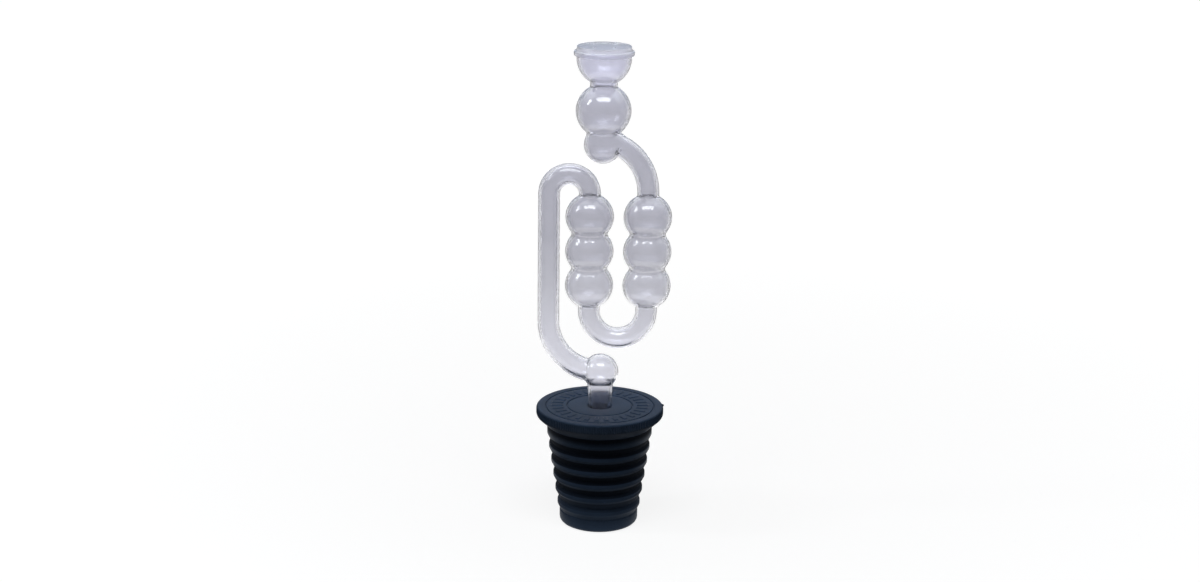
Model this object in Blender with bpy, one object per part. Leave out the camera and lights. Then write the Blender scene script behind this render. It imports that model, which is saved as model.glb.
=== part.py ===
"""A clear twin-bubble fermentation airlock standing in a ribbed rubber bung.

Units are metres and +Z is up. The origin is on the bung's axis, at the middle of its foot.
The airlock's tube lies in the plane y = 0, where its two moulded halves are welded together.
"""
import math

import bmesh
import bpy
from mathutils import Vector

# Bung: overall sizes, with a flange that has an upright side and a bevelled underside
BUNG_HEIGHT = 0.0480
FLANGE_DIAMETER = 0.0500
FLANGE_SIDE_HEIGHT = 0.0026
FLANGE_THICKNESS = 0.0073
FLANGE_TOP_EDGE = 0.0010
FLANGE_FOOT_EDGE = 0.0017

# Bung: ribs on the tapered body, with a plain collar above them and a plain band at the foot
COLLAR_HEIGHT = 0.0037
COLLAR_DIAMETER = 0.0413
FIRST_RIB_DROP = 0.0045
FIRST_RIB_DIAMETER = 0.0398
RIB_COUNT = 5
RIB_PITCH = 0.0059
RIB_DEPTH = 0.0009
RIB_LEDGE_HEIGHT = 0.0013
RIB_NOSE_HEIGHT = 0.0013
FOOT_DIAMETER = 0.0310
FOOT_BAND_HEIGHT = 0.0050
FOOT_EDGE = 0.0029

# Bung: hollow underside with a sleeve round the bore
BUNG_WALL = 0.0031
TOP_PLATE_THICKNESS = 0.0090
SLEEVE_WALL = 0.0024
SLEEVE_REACH = 0.0030
BORE_MOUTH_CHAMFER = 0.0004

# Fits between pieces that come apart
FIT_CLEARANCE = 0.0003

# Airlock: wall and tube
WALL = 0.0012
TUBE_DIAMETER = 0.0082
TRAP_TUBE_DIAMETER = 0.0090

# Airlock: stem, which plugs into the bung's bore, and the trap bulb on top of it
STEM_TOP_DIAMETER = 0.0104
STEM_SEAT_DIAMETER = 0.0088
STEM_TIP_DIAMETER = 0.0084
STEM_INSERTION = 0.0240
STEM_WALL = 0.0013
TRAP_BULB_DIAMETER = 0.0140
TRAP_BULB_RISE = 0.0140

# Airlock: two columns of bulbs joined by a U-bend, and the riser beside them
BULB_COUNT = 3
BULB_DIAMETER = 0.0185
BULB_WAIST_DIAMETER = 0.0138
BULB_WAIST_LENGTH = 0.0013
LEFT_COLUMN_OFFSET = 0.0048
COLUMN_GAP = 0.0038
RISER_GAP = 0.0023
UBEND_CLEARANCE = 0.0027
UBEND_LEG = 0.0018
GOOSENECK_LEG = 0.0006
UPPER_BEND_LEG = 0.0015

# Airlock: upper bend, the stack of two bulbs above it, and the filling cup
UPPER_BEND_RADIUS = 0.0204
SMALL_BULB_DIAMETER = 0.0146
SMALL_BULB_DROP = 0.0017
STACK_NECK_DIAMETER = 0.0126
STACK_NECK_LENGTH = 0.0009
BIG_BULB_DIAMETER = 0.0210
CUP_NECK_DIAMETER = 0.0103
CUP_NECK_LENGTH = 0.0019
CUP_DIAMETER = 0.0207
CUP_WALL_HEIGHT = 0.0026

# Dust cap: a push-on lid with a rounded rim and small vents
CAP_HEIGHT = 0.0036
CAP_FLARE = 0.0012
CAP_CROWN_THICKNESS = 0.0010
CAP_CROWN_EDGE = 0.0003
CAP_RIM_WALL = 0.0009
CAP_SKIRT_DEPTH = 0.0014
CAP_SEAT_WIDTH = 0.0014
VENT_COUNT = 4
VENT_DIAMETER = 0.0013
VENT_CIRCLE_DIAMETER = 0.0110

# Facets
BUNG_SIDES = 48
TUBE_SIDES = 16
CAP_SIDES = 32
VENT_SIDES = 8
BEND_STEP = math.radians(15.0)
BULB_STEPS = 7
EDGE_STEPS = 3
POLE_ANGLE = math.radians(10.0)
SMOOTH_ANGLE = math.radians(40.0)


def chord_reach(diameter, neck_diameter):
    """Distance from a round bulb's centre to where it has narrowed to its neck."""
    return math.sqrt(diameter ** 2 - neck_diameter ** 2) / 2.0


# Places of the airlock's middle line in the plane y = 0
BULB_REACH = chord_reach(BULB_DIAMETER, TUBE_DIAMETER)
BULB_PITCH = 2.0 * chord_reach(BULB_DIAMETER, BULB_WAIST_DIAMETER) + BULB_WAIST_LENGTH
LEFT_X = -LEFT_COLUMN_OFFSET
RIGHT_X = LEFT_X + BULB_DIAMETER + COLUMN_GAP
RISER_X = LEFT_X - BULB_DIAMETER / 2.0 - RISER_GAP - TUBE_DIAMETER / 2.0
UBEND_RADIUS = (RIGHT_X - LEFT_X) / 2.0
GOOSENECK_RADIUS = (LEFT_X - RISER_X) / 2.0
LOWER_BEND_RADIUS = -RISER_X
STEM_TIP_Z = BUNG_HEIGHT - STEM_INSERTION
TRAP_Z = BUNG_HEIGHT + TRAP_BULB_RISE
TRAP_TOP_Z = TRAP_Z + TRAP_BULB_DIAMETER / 2.0
LOWER_BEND_Z = TRAP_Z + LOWER_BEND_RADIUS
UBEND_Z = TRAP_TOP_Z + UBEND_CLEARANCE + TUBE_DIAMETER / 2.0 + UBEND_RADIUS
LOW_BULB_Z = UBEND_Z + UBEND_LEG + BULB_REACH
TOP_BULB_Z = LOW_BULB_Z + BULB_PITCH * (BULB_COUNT - 1)
GOOSENECK_Z = TOP_BULB_Z + BULB_REACH + GOOSENECK_LEG
UPPER_BEND_X = RIGHT_X - UPPER_BEND_RADIUS
UPPER_BEND_Z = TOP_BULB_Z + BULB_REACH + UPPER_BEND_LEG
UPPER_BEND_TURN = math.acos(-UPPER_BEND_X / UPPER_BEND_RADIUS)
UPPER_BEND_TOP_Z = UPPER_BEND_Z + UPPER_BEND_RADIUS * math.sin(UPPER_BEND_TURN)
SMALL_BULB_Z = UPPER_BEND_TOP_Z - SMALL_BULB_DROP
STACK_NECK_Z = SMALL_BULB_Z + chord_reach(SMALL_BULB_DIAMETER, STACK_NECK_DIAMETER)
BIG_BULB_Z = STACK_NECK_Z + STACK_NECK_LENGTH + chord_reach(BIG_BULB_DIAMETER, STACK_NECK_DIAMETER)
CUP_NECK_Z = BIG_BULB_Z + chord_reach(BIG_BULB_DIAMETER, CUP_NECK_DIAMETER)
CUP_Z = CUP_NECK_Z + CUP_NECK_LENGTH + chord_reach(CUP_DIAMETER, CUP_NECK_DIAMETER)
CUP_RIM_Z = CUP_Z + CUP_WALL_HEIGHT
CAP_FOOT_Z = CUP_RIM_Z - CAP_SKIRT_DEPTH
CAP_CROWN_Z = CAP_FOOT_Z + CAP_HEIGHT

UP = Vector((0.0, 0.0, 1.0))
DOWN = -UP


def clear_scene():
    for item in list(bpy.data.objects):
        bpy.data.objects.remove(item, do_unlink=True)


def make_material(name, colour, roughness, transmission=0.0):
    material = bpy.data.materials.new(name)
    material.use_nodes = True
    shader = material.node_tree.nodes["Principled BSDF"]
    shader.inputs["Base Color"].default_value = (*colour, 1.0)
    shader.inputs["Roughness"].default_value = roughness
    shader.inputs["Metallic"].default_value = 0.0
    shader.inputs["Transmission Weight"].default_value = transmission
    return material


def add_object(name, mesh, origin, parent=None, material=None):
    """Make an object from a mesh in world coordinates, with its own origin moved to a joint's axis."""
    for vertex in mesh.vertices:
        vertex.co -= origin
    item = bpy.data.objects.new(name, mesh)
    item.parent = parent
    item.location = origin - (parent.matrix_world.translation if parent else Vector())
    if material:
        mesh.materials.append(material)
    mesh.shade_smooth()
    mesh.set_sharp_from_angle(angle=SMOOTH_ANGLE)
    bpy.context.scene.collection.objects.link(item)
    bpy.context.view_layer.update()
    return item


def add_empty(name, location, parent=None):
    item = bpy.data.objects.new(name, None)
    item.parent = parent
    item.location = location
    bpy.context.scene.collection.objects.link(item)
    bpy.context.view_layer.update()
    return item


def add_cutter(name, mesh):
    item = add_object(name, mesh, Vector())
    item.hide_render = True
    item.display_type = "WIRE"
    return item


def add_boolean(item, operation, other):
    modifier = item.modifiers.new(other.name, "BOOLEAN")
    modifier.operation = operation
    modifier.solver = "EXACT"
    modifier.object = other


def circle_point(index, sides):
    """Cosine and sine of one corner of a regular polygon, exactly zero where it crosses an axis."""
    angle = 2.0 * math.pi * index / sides
    return round(math.cos(angle), 12), round(math.sin(angle), 12)


def skin_rings(name, rings, closed):
    """Join rings of points with quads. A closed run meets itself, an open one gets flat ends."""
    build = bmesh.new()
    loops = [[build.verts.new(point) for point in ring] for ring in rings]
    sides = len(rings[0])
    pairs = list(zip(loops, loops[1:]))
    if closed:
        pairs.append((loops[-1], loops[0]))
    else:
        build.faces.new(loops[0])
        build.faces.new(reversed(loops[-1]))
    for first, second in pairs:
        for index in range(sides):
            following = (index + 1) % sides
            build.faces.new((first[index], second[index], second[following], first[following]))
    bmesh.ops.recalc_face_normals(build, faces=build.faces)
    mesh = bpy.data.meshes.new(name)
    build.to_mesh(mesh)
    build.free()
    return mesh


def turned_mesh(name, profile, sides, closed):
    """Turn a profile of (radius, height) points about the Z axis."""
    rings = []
    for radius, height in profile:
        corners = [circle_point(index, sides) for index in range(sides)]
        rings.append([(radius * cosine, radius * sine, height) for cosine, sine in corners])
    return skin_rings(name, rings, closed)


def swept_mesh(name, stations):
    """Skin a round tube through stations of (centre, direction, radius) in the plane y = 0."""
    rings = []
    for centre, direction, radius in stations:
        across = Vector((direction.z, 0.0, -direction.x))
        ring = []
        for index in range(TUBE_SIDES):
            cosine, sine = circle_point(index, TUBE_SIDES)
            point = centre + across * (radius * cosine)
            ring.append((point.x, radius * sine, point.z))
        rings.append(ring)
    return skin_rings(name, rings, closed=False)


def rounded_corner(centre_radius, centre_height, radius, start_degrees, end_degrees):
    """Points of a rounded edge on a turned profile, between two angles from the outward direction."""
    points = []
    for step in range(EDGE_STEPS):
        share = step / (EDGE_STEPS - 1)
        angle = math.radians(start_degrees + (end_degrees - start_degrees) * share)
        points.append((centre_radius + radius * math.cos(angle), centre_height + radius * math.sin(angle)))
    return points


def stem_radius(height):
    """Outer radius of the stem: a short shoulder above the bung, then a slight draft to the tip."""
    if height >= BUNG_HEIGHT:
        share = (height - BUNG_HEIGHT) / TRAP_BULB_RISE
        low, high = STEM_SEAT_DIAMETER, STEM_TOP_DIAMETER
    else:
        share = (height - STEM_TIP_Z) / STEM_INSERTION
        low, high = STEM_TIP_DIAMETER, STEM_SEAT_DIAMETER
    return (low + (high - low) * share) / 2.0


def rib_profile():
    """Ribs below the collar, each with a sloping ledge above its nose, then the ledge of the foot band."""
    first_z = BUNG_HEIGHT - FLANGE_THICKNESS - COLLAR_HEIGHT - FIRST_RIB_DROP
    points = []
    for rib in range(RIB_COUNT):
        share = rib / RIB_COUNT
        nose_radius = (FIRST_RIB_DIAMETER + (FOOT_DIAMETER - FIRST_RIB_DIAMETER) * share) / 2.0
        nose_z = first_z - RIB_PITCH * rib
        points.append((nose_radius - RIB_DEPTH, nose_z + RIB_LEDGE_HEIGHT))
        points.append((nose_radius, nose_z))
        points.append((nose_radius, nose_z - RIB_NOSE_HEIGHT))
    points.append((FOOT_DIAMETER / 2.0 - RIB_DEPTH, FOOT_BAND_HEIGHT + RIB_LEDGE_HEIGHT))
    points.append((FOOT_DIAMETER / 2.0, FOOT_BAND_HEIGHT))
    return points


def bung_profile():
    flange_radius = FLANGE_DIAMETER / 2.0
    side_foot_z = BUNG_HEIGHT - FLANGE_SIDE_HEIGHT
    collar_top_z = BUNG_HEIGHT - FLANGE_THICKNESS
    foot_radius = FOOT_DIAMETER / 2.0
    sleeve_foot_z = STEM_TIP_Z - SLEEVE_REACH
    pocket_top_z = BUNG_HEIGHT - TOP_PLATE_THICKNESS
    skin = RIB_DEPTH + BUNG_WALL
    bore_mouth = stem_radius(BUNG_HEIGHT) + FIT_CLEARANCE
    bore_tip = stem_radius(STEM_TIP_Z) + FIT_CLEARANCE
    points = [(bore_mouth + BORE_MOUTH_CHAMFER, BUNG_HEIGHT)]
    top_edge, foot_edge = FLANGE_TOP_EDGE, FLANGE_FOOT_EDGE
    points += rounded_corner(flange_radius - top_edge, BUNG_HEIGHT - top_edge, top_edge, 90.0, 0.0)
    points += rounded_corner(flange_radius - foot_edge, side_foot_z, foot_edge, 0.0, -45.0)
    points.append((COLLAR_DIAMETER / 2.0, collar_top_z))
    points.append((COLLAR_DIAMETER / 2.0, collar_top_z - COLLAR_HEIGHT))
    points += rib_profile()
    points += rounded_corner(foot_radius - FOOT_EDGE, FOOT_EDGE, FOOT_EDGE, 0.0, -90.0)
    points.append((foot_radius - skin, 0.0))
    points.append((COLLAR_DIAMETER / 2.0 - skin, pocket_top_z))
    points.append((bore_mouth + SLEEVE_WALL, pocket_top_z))
    points.append((bore_tip + SLEEVE_WALL, sleeve_foot_z))
    points.append((bore_tip, sleeve_foot_z))
    points.append((bore_tip, STEM_TIP_Z))
    points.append((bore_mouth, BUNG_HEIGHT - BORE_MOUTH_CHAMFER))
    return points


def build_bung(material):
    mesh = turned_mesh("bung", bung_profile(), BUNG_SIDES, closed=True)
    return add_object("bung", mesh, Vector(), material=material)


def bend(centre_x, centre_z, bend_radius, start, end, start_radius, end_radius):
    """Stations along an arc of the tube's middle line, between two angles from +X."""
    steps = max(2, math.ceil(abs(end - start) / BEND_STEP))
    turn = 1.0 if end > start else -1.0
    stations = []
    for step in range(steps + 1):
        share = step / steps
        angle = start + (end - start) * share
        out = Vector((math.cos(angle), 0.0, math.sin(angle)))
        centre = Vector((centre_x, 0.0, centre_z)) + out * bend_radius
        direction = Vector((-out.z, 0.0, out.x)) * turn
        stations.append((centre, direction, start_radius + (end_radius - start_radius) * share))
    return stations


def bulb(centre_x, centre_z, direction, radius, entry_radius, exit_radius):
    """Stations through a round bulb, from where it is as wide as its entry to where it meets its exit."""
    start = math.asin(entry_radius / radius)
    end = math.pi - math.asin(exit_radius / radius)
    centre = Vector((centre_x, 0.0, centre_z))
    stations = []
    for step in range(BULB_STEPS + 1):
        angle = start + (end - start) * step / BULB_STEPS
        stations.append((centre - direction * (radius * math.cos(angle)), direction, radius * math.sin(angle)))
    return stations


def bulb_column(x, first_z, direction, inset):
    """Stations through a column of bulbs, with the tube at both ends and a narrow waist between bulbs."""
    tube = TUBE_DIAMETER / 2.0 - inset
    waist = BULB_WAIST_DIAMETER / 2.0 - inset
    radius = BULB_DIAMETER / 2.0 - inset
    stations = []
    for index in range(BULB_COUNT):
        entry_radius = tube if index == 0 else waist
        exit_radius = tube if index == BULB_COUNT - 1 else waist
        centre_z = first_z + direction.z * BULB_PITCH * index
        stations += bulb(x, centre_z, direction, radius, entry_radius, exit_radius)
    return stations


def tube_run(inset):
    """Stations of the bent tube from the trap bulb to the small bulb, drawn in by a wall's thickness."""
    tube = TUBE_DIAMETER / 2.0 - inset
    trap_tube = TRAP_TUBE_DIAMETER / 2.0 - inset
    quarter = math.pi / 2.0
    stations = bend(0.0, LOWER_BEND_Z, LOWER_BEND_RADIUS, -quarter, -math.pi, trap_tube, tube)
    stations += bend(RISER_X + GOOSENECK_RADIUS, GOOSENECK_Z, GOOSENECK_RADIUS, math.pi, 0.0, tube, tube)
    stations += bulb_column(LEFT_X, TOP_BULB_Z, DOWN, inset)
    stations += bend(LEFT_X + UBEND_RADIUS, UBEND_Z, UBEND_RADIUS, -math.pi, 0.0, tube, tube)
    stations += bulb_column(RIGHT_X, LOW_BULB_Z, UP, inset)
    stations += bend(UPPER_BEND_X, UPPER_BEND_Z, UPPER_BEND_RADIUS, 0.0, UPPER_BEND_TURN, tube, tube)
    return stations


def stem_run(inset, wall, overshoot):
    """Stations down through the trap bulb and the stem, past the tip for the bore."""
    radius = TRAP_BULB_DIAMETER / 2.0 - inset
    pole = radius * math.sin(POLE_ANGLE)
    top = stem_radius(TRAP_Z) - wall
    stations = bulb(0.0, TRAP_Z, DOWN, radius, pole, top)
    for height in (BUNG_HEIGHT, STEM_TIP_Z):
        stations.append((Vector((0.0, 0.0, height)), DOWN, stem_radius(height) - wall))
    if overshoot:
        tip = Vector((0.0, 0.0, STEM_TIP_Z - overshoot))
        stations.append((tip, DOWN, stem_radius(STEM_TIP_Z) - wall))
    return stations


def stack_run(inset, overshoot):
    """Stations up through the small bulb, the big bulb and the cup, past the rim for the hollow."""
    small = SMALL_BULB_DIAMETER / 2.0 - inset
    big = BIG_BULB_DIAMETER / 2.0 - inset
    cup = CUP_DIAMETER / 2.0 - inset
    stack_neck = STACK_NECK_DIAMETER / 2.0 - inset
    cup_neck = CUP_NECK_DIAMETER / 2.0 - inset
    pole = small * math.sin(POLE_ANGLE)
    stations = bulb(0.0, SMALL_BULB_Z, UP, small, pole, stack_neck)
    stations += bulb(0.0, BIG_BULB_Z, UP, big, stack_neck, cup_neck)
    stations += bulb(0.0, CUP_Z, UP, cup, cup_neck, cup)
    stations.append((Vector((0.0, 0.0, CUP_RIM_Z + overshoot)), UP, cup))
    return stations


def half_space_mesh(name, side):
    """A box that holds everything on one side of the weld plane y = 0."""
    reach = RIGHT_X - RISER_X + BIG_BULB_DIAMETER + BULB_DIAMETER
    corners = ((-reach, -reach), (reach, -reach), (reach, reach), (-reach, reach))
    height = CUP_RIM_Z
    planes = []
    for y in (0.0, side * reach):
        planes.append([(x, y, height / 2.0 + z * height / reach) for x, z in corners])
    return skin_rings(name, planes, closed=False)


def build_airlock(parent, material):
    """Two half shells that meet at the weld plane, cut from one set of outer and inner runs."""
    overshoot = WALL
    outer_stem = add_cutter("outer_stem", swept_mesh("outer_stem", stem_run(0.0, 0.0, 0.0)))
    outer_stack = add_cutter("outer_stack", swept_mesh("outer_stack", stack_run(0.0, 0.0)))
    inner_tube = add_cutter("inner_tube", swept_mesh("inner_tube", tube_run(WALL)))
    inner_stem = add_cutter("inner_stem", swept_mesh("inner_stem", stem_run(WALL, STEM_WALL, overshoot)))
    inner_stack = add_cutter("inner_stack", swept_mesh("inner_stack", stack_run(WALL, overshoot)))
    for name, side in (("airlock_front_half", -1.0), ("airlock_rear_half", 1.0)):
        mesh = swept_mesh(name, tube_run(0.0))
        half = add_object(name, mesh, Vector((0.0, 0.0, BUNG_HEIGHT)), parent, material)
        for outer in (outer_stem, outer_stack):
            add_boolean(half, "UNION", outer)
        for inner in (inner_tube, inner_stem, inner_stack):
            add_boolean(half, "DIFFERENCE", inner)
        space_name = name + "_space"
        add_boolean(half, "INTERSECT", add_cutter(space_name, half_space_mesh(space_name, side)))


def cap_profile():
    """Dust cap from the edge of its crown, down the outside of the rim and back up to its underside."""
    cup_radius = CUP_DIAMETER / 2.0
    skirt_inside = cup_radius + FIT_CLEARANCE
    rim_radius = skirt_inside + CAP_RIM_WALL
    crown_radius = rim_radius - CAP_FLARE
    seat_z = CUP_RIM_Z + FIT_CLEARANCE
    bead = CAP_RIM_WALL
    underside_radius = cup_radius - CAP_SEAT_WIDTH
    underside_z = CAP_CROWN_Z - CAP_CROWN_THICKNESS
    points = [(crown_radius - CAP_CROWN_EDGE, CAP_CROWN_Z), (crown_radius, CAP_CROWN_Z - CAP_CROWN_EDGE)]
    points += rounded_corner(rim_radius - bead, CAP_FOOT_Z + bead, bead, 45.0, -45.0)
    points.append((skirt_inside, CAP_FOOT_Z))
    points.append((skirt_inside, seat_z))
    points.append((underside_radius, seat_z))
    points.append((underside_radius, underside_z))
    return points


def build_cap(parent, material):
    mesh = turned_mesh("dust_cap", cap_profile(), CAP_SIDES, closed=False)
    cap = add_object("dust_cap", mesh, Vector((0.0, 0.0, CUP_RIM_Z)), parent, material)
    reach = CAP_CROWN_THICKNESS
    for index in range(VENT_COUNT):
        name = "vent_cutter_%d" % index
        ends = (CAP_CROWN_Z + reach, CAP_CROWN_Z - 2.0 * reach)
        profile = [(VENT_DIAMETER / 2.0, height) for height in ends]
        cutter = add_cutter(name, turned_mesh(name, profile, VENT_SIDES, closed=False))
        angle = 2.0 * math.pi * (index + 0.5) / VENT_COUNT
        cutter.location = Vector((math.cos(angle), math.sin(angle), 0.0)) * VENT_CIRCLE_DIAMETER / 2.0
        add_boolean(cap, "DIFFERENCE", cutter)


def main():
    clear_scene()
    rubber = make_material("black_rubber", (0.030, 0.042, 0.065), 0.55)
    clear_plastic = make_material("clear_plastic", (0.72, 0.73, 0.78), 0.10, transmission=0.9)
    clear_cap = make_material("clear_cap_plastic", (0.74, 0.75, 0.80), 0.14, transmission=0.9)
    bung = build_bung(rubber)
    airlock_axis = add_empty("airlock_axis", Vector((0.0, 0.0, BUNG_HEIGHT)), bung)
    build_airlock(airlock_axis, clear_plastic)
    build_cap(airlock_axis, clear_cap)


main()
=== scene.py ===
"""The looks of a clear twin-bubble airlock standing in a ribbed rubber bung.

Units are metres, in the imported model's frame: +Z is up, the origin is under the middle of the bung,
and the airlock's tube lies in the plane y = 0, where its two halves are welded together.
"""
import math

import bmesh
import bpy
import numpy as np
from mathutils import Matrix, Vector


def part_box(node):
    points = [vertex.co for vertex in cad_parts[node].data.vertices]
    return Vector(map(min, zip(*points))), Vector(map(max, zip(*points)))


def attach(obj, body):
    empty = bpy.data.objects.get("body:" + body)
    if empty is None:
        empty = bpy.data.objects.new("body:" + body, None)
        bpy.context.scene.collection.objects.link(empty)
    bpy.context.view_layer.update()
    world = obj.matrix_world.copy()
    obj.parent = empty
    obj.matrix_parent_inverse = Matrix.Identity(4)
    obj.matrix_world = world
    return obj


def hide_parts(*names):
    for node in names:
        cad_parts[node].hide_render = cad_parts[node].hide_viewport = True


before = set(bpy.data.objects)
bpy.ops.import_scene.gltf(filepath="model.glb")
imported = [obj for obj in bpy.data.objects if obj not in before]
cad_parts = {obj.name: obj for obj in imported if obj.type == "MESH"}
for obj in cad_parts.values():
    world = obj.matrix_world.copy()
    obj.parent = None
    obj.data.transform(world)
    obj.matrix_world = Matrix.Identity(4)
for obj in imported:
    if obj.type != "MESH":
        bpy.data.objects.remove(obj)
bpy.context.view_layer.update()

# Bung, from the frame and as in the solids
BUNG_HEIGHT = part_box("bung")[1].z
FLANGE_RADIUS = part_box("bung")[1].x
FLANGE_SIDE_HEIGHT = 0.0026
FLANGE_THICKNESS = 0.0073
FLANGE_TOP_EDGE = 0.0010
FLANGE_FOOT_EDGE = 0.0017
COLLAR_HEIGHT = 0.0037
COLLAR_RADIUS = 0.02065
FIRST_RIB_DROP = 0.0045
FIRST_RIB_RADIUS = 0.0199
RIB_COUNT = 5
RIB_PITCH = 0.0059
RIB_DEPTH = 0.0009
RIB_LEDGE_HEIGHT = 0.0013
RIB_NOSE_HEIGHT = 0.0013
FOOT_RADIUS = 0.0155
FOOT_BAND_HEIGHT = 0.0050
FOOT_EDGE = 0.0029
BUNG_WALL = 0.0031
TOP_PLATE_THICKNESS = 0.0090
SLEEVE_WALL = 0.0024
SLEEVE_REACH = 0.0030
BORE_MOUTH_CHAMFER = 0.0004
FIT_CLEARANCE = 0.0003

# Bung, fine surface
KNURL_TEETH = 180
KNURL_DEPTH = 0.00028
KNURL_FADE = 0.0005
KNURL_HEIGHT = 0.0034
GROOVE_RADII = (0.0128, 0.0212)
GROOVE_WIDTH = 0.0007
GROOVE_DEPTH = 0.0004
GROOVE_ROUND = 0.0001
MARK_COUNT = 30
MARK_RADII = (0.0148, 0.0188)
MARK_HEIGHT = 0.0003
MARK_SHARE = 0.36
NIB_ANGLE = math.radians(5.0)
NIB_REACH = 0.0007
NIB_WIDTH = 0.0009
FOOT_LEDGE_DEPTH = 0.0003
RIB_NOSE_ROUND = 0.00035
RIB_VALLEY_ROUND = 0.0003
SMALL_ROUND = 0.0003

# Airlock, as in the solids
WALL = 0.0012
TUBE_DIAMETER = 0.0082
TRAP_TUBE_DIAMETER = 0.0090
STEM_TOP_DIAMETER = 0.0104
STEM_SEAT_DIAMETER = 0.0088
STEM_TIP_DIAMETER = 0.0084
STEM_TIP_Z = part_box("airlock_front_half")[0].z
STEM_WALL = 0.0013
TRAP_BULB_DIAMETER = 0.0140
TRAP_BULB_RISE = 0.0140
BULB_COUNT = 3
BULB_DIAMETER = 0.0185
BULB_WAIST_DIAMETER = 0.0138
BULB_WAIST_LENGTH = 0.0013
LEFT_COLUMN_OFFSET = 0.0048
COLUMN_GAP = 0.0038
RISER_GAP = 0.0023
UBEND_CLEARANCE = 0.0027
UBEND_LEG = 0.0018
GOOSENECK_LEG = 0.0006
UPPER_BEND_LEG = 0.0015
UPPER_BEND_RADIUS = 0.0204
SMALL_BULB_DIAMETER = 0.0146
SMALL_BULB_DROP = 0.0017
STACK_NECK_DIAMETER = 0.0126
STACK_NECK_LENGTH = 0.0009
BIG_BULB_DIAMETER = 0.0210
CUP_NECK_DIAMETER = 0.0103
CUP_DIAMETER = 0.0207
CUP_RIM_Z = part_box("airlock_front_half")[1].z
CUP_WALL_HEIGHT = 0.0026

# Airlock, fine surface
TUBE_SIDES = 64
BEND_STEP = math.radians(6.0)
UPPER_BEND_STEP = math.radians(2.0)
BULB_STEPS = 22
JOIN_STEPS = 6
BULB_BLEND = 0.0006
TUBE_BLEND = 0.0005
STEM_BLEND = 0.0004
FLARE_BLEND = 0.0032
FLARE_INSET = 0.00005
WELD_HALF_WIDTH = 0.00024
WELD_HEIGHT = 0.00009
# Points across a weld line, as shares of its half width and of its height
WELD_PROFILE = ((-1.0, 0.0), (-0.5, 0.6), (0.0, 1.0), (0.5, 0.6), (1.0, 0.0))
# The most of the step between two sides of a tube that a weld line's half width takes
WELD_LARGEST_SPREAD = 0.4
LIP_ROUND = 0.0004
# The angle from a bulb's pole at which its skin has a flat end
POLE_ANGLE = math.radians(4.0)
# Heights that are the same to this many digits are cut once
PLACE_DIGITS = 7

# Dust cap, as in the solids
CAP_HEIGHT = 0.0036
CAP_FLARE = 0.0012
CAP_CROWN_THICKNESS = 0.0010
CAP_CROWN_EDGE = 0.0003
CAP_RIM_WALL = 0.0009
CAP_SKIRT_DEPTH = 0.0014
CAP_SEAT_WIDTH = 0.0014
VENT_COUNT = 4
VENT_DIAMETER = 0.0013
VENT_CIRCLE_DIAMETER = 0.0110

# Dust cap, fine surface
CAP_MIDDLE_RADIUS = 0.0001
CAP_CROWN_DRAFT = 0.0002
CAP_CORNER_ROUND = 0.0003
CAP_RIM_ROUND = 0.0006
CAP_INNER_ROUND = 0.0002
CAP_SIDES = 96
VENT_SIDES = 20

# Meshes, where a rounded corner takes at most CORNER_ROOM of its shorter side
ARC_STEP = math.radians(18.0)
CORNER_ROOM = 0.49
SMOOTH_ANGLE = math.radians(35.0)
TOUCHING = 1e-6


def chord_reach(diameter, neck_diameter):
    """Distance from a round bulb's centre to where it has narrowed to its neck."""
    return math.sqrt(diameter ** 2 - neck_diameter ** 2) / 2.0


# Heights on the bung
COLLAR_TOP_Z = BUNG_HEIGHT - FLANGE_THICKNESS
FIRST_RIB_Z = COLLAR_TOP_Z - COLLAR_HEIGHT - FIRST_RIB_DROP

# Places of the airlock's middle line in the plane y = 0
BULB_REACH = chord_reach(BULB_DIAMETER, TUBE_DIAMETER)
BULB_PITCH = 2.0 * chord_reach(BULB_DIAMETER, BULB_WAIST_DIAMETER) + BULB_WAIST_LENGTH
LEFT_X = -LEFT_COLUMN_OFFSET
RIGHT_X = LEFT_X + BULB_DIAMETER + COLUMN_GAP
RISER_X = LEFT_X - BULB_DIAMETER / 2.0 - RISER_GAP - TUBE_DIAMETER / 2.0
UBEND_RADIUS = (RIGHT_X - LEFT_X) / 2.0
GOOSENECK_RADIUS = (LEFT_X - RISER_X) / 2.0
LOWER_BEND_RADIUS = -RISER_X
TRAP_Z = BUNG_HEIGHT + TRAP_BULB_RISE
TRAP_TOP_Z = TRAP_Z + TRAP_BULB_DIAMETER / 2.0
LOWER_BEND_Z = TRAP_Z + LOWER_BEND_RADIUS
UBEND_Z = TRAP_TOP_Z + UBEND_CLEARANCE + TUBE_DIAMETER / 2.0 + UBEND_RADIUS
LOW_BULB_Z = UBEND_Z + UBEND_LEG + BULB_REACH
TOP_BULB_Z = LOW_BULB_Z + BULB_PITCH * (BULB_COUNT - 1)
GOOSENECK_Z = TOP_BULB_Z + BULB_REACH + GOOSENECK_LEG
UPPER_BEND_X = RIGHT_X - UPPER_BEND_RADIUS
UPPER_BEND_Z = TOP_BULB_Z + BULB_REACH + UPPER_BEND_LEG
UPPER_BEND_TURN = math.acos(-UPPER_BEND_X / UPPER_BEND_RADIUS)
UPPER_BEND_TOP_Z = UPPER_BEND_Z + UPPER_BEND_RADIUS * math.sin(UPPER_BEND_TURN)
SMALL_BULB_Z = UPPER_BEND_TOP_Z - SMALL_BULB_DROP
STACK_NECK_Z = SMALL_BULB_Z + chord_reach(SMALL_BULB_DIAMETER, STACK_NECK_DIAMETER)
BIG_BULB_Z = STACK_NECK_Z + STACK_NECK_LENGTH + chord_reach(BIG_BULB_DIAMETER, STACK_NECK_DIAMETER)
CUP_Z = CUP_RIM_Z - CUP_WALL_HEIGHT
CAP_FOOT_Z = CUP_RIM_Z - CAP_SKIRT_DEPTH
CAP_CROWN_Z = CAP_FOOT_Z + CAP_HEIGHT

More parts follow.
